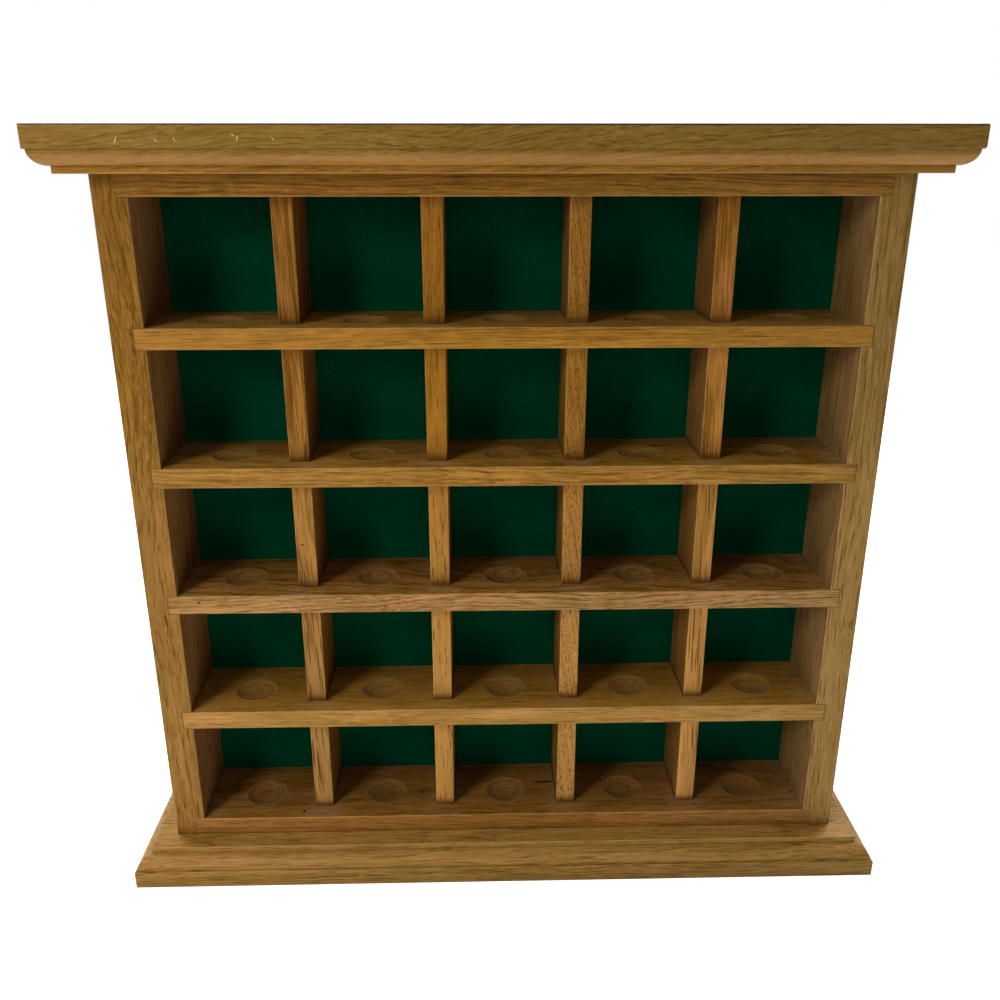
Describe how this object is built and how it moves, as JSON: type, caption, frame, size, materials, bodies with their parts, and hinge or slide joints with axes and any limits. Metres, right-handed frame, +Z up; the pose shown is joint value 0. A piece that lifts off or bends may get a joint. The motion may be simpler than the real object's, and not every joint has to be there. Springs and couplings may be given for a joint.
{
  "type": "golf ball display case",
  "caption": "Free-standing open-front oak display case with a grid of ball compartments, round seats, moulded base and top boards, and a felt-lined back.",
  "frame": {"origin": "middle of the footprint, on the underside of the base board", "axes": "+X to the viewer's right along the shelves, -Y out of the open front, +Z up"},
  "size_m": [0.3836, 0.0694, 0.37],
  "materials": {
    "oak_moulded": "satin varnished oak, fine dark pores along the board",
    "oak_side": "satin varnished oak, upright grain",
    "oak_shelf": "satin varnished oak, grain along the shelf",
    "oak_divider": "satin varnished oak, upright grain",
    "plywood": "bare rotary-cut plywood",
    "green_felt": "matt pressed wool felt, dark green",
    "plated_steel": "yellow zinc plated steel"
  },
  "bodies": {
    "root": {"base_board": "oak_moulded", "top_board": "oak_moulded", "left_side": "oak_side", "right_side": "oak_side", "bottom_panel": "oak_shelf", "top_panel": "oak_shelf", "shelf_1": "oak_shelf", "shelf_2": "oak_shelf", "shelf_3": "oak_shelf", "shelf_4": "oak_shelf", "divider_1": "oak_divider", "divider_2": "oak_divider", "divider_3": "oak_divider", "divider_4": "oak_divider", "back_panel": "plywood", "felt_lining": "green_felt", "base_screws": "plated_steel", "top_screws": "plated_steel", "back_pins": "plated_steel"}
  },
  "joints": []
}
